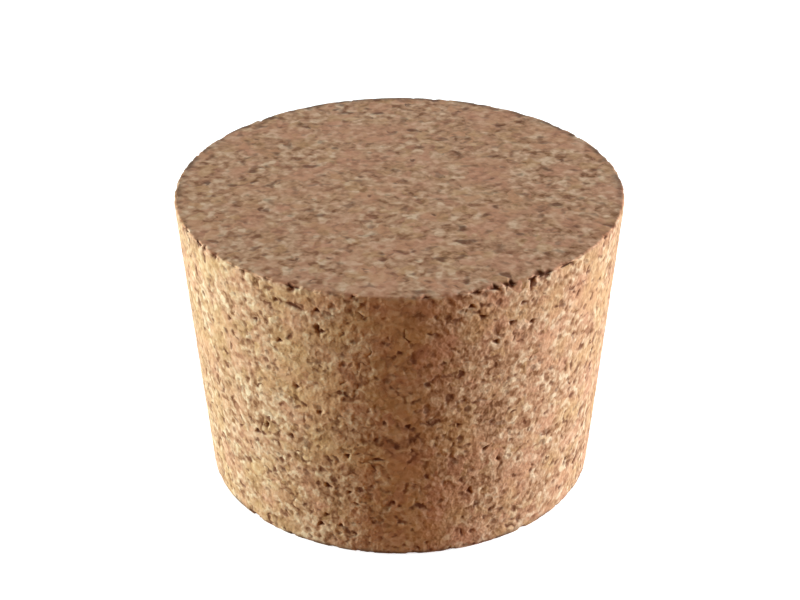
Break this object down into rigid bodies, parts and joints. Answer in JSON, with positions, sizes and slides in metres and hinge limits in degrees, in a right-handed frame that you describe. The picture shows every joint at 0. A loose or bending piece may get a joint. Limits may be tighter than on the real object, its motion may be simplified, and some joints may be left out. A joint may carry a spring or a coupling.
{
  "type": "cork stopper",
  "caption": "Tapered round stopper of pressed cork granules with flat ends, pushed narrow end first into the neck of a jar or vessel to close it.",
  "frame": {"origin": "middle of the narrow flat face, on which the stopper stands", "axes": "+Z along the axis of the taper, from the narrow face to the wide face"},
  "size_m": [0.06, 0.06, 0.041],
  "materials": {
    "cork": "matte, granular pressed cork with small dark pits"
  },
  "bodies": {
    "root": {"stopper": "cork"}
  },
  "joints": []
}
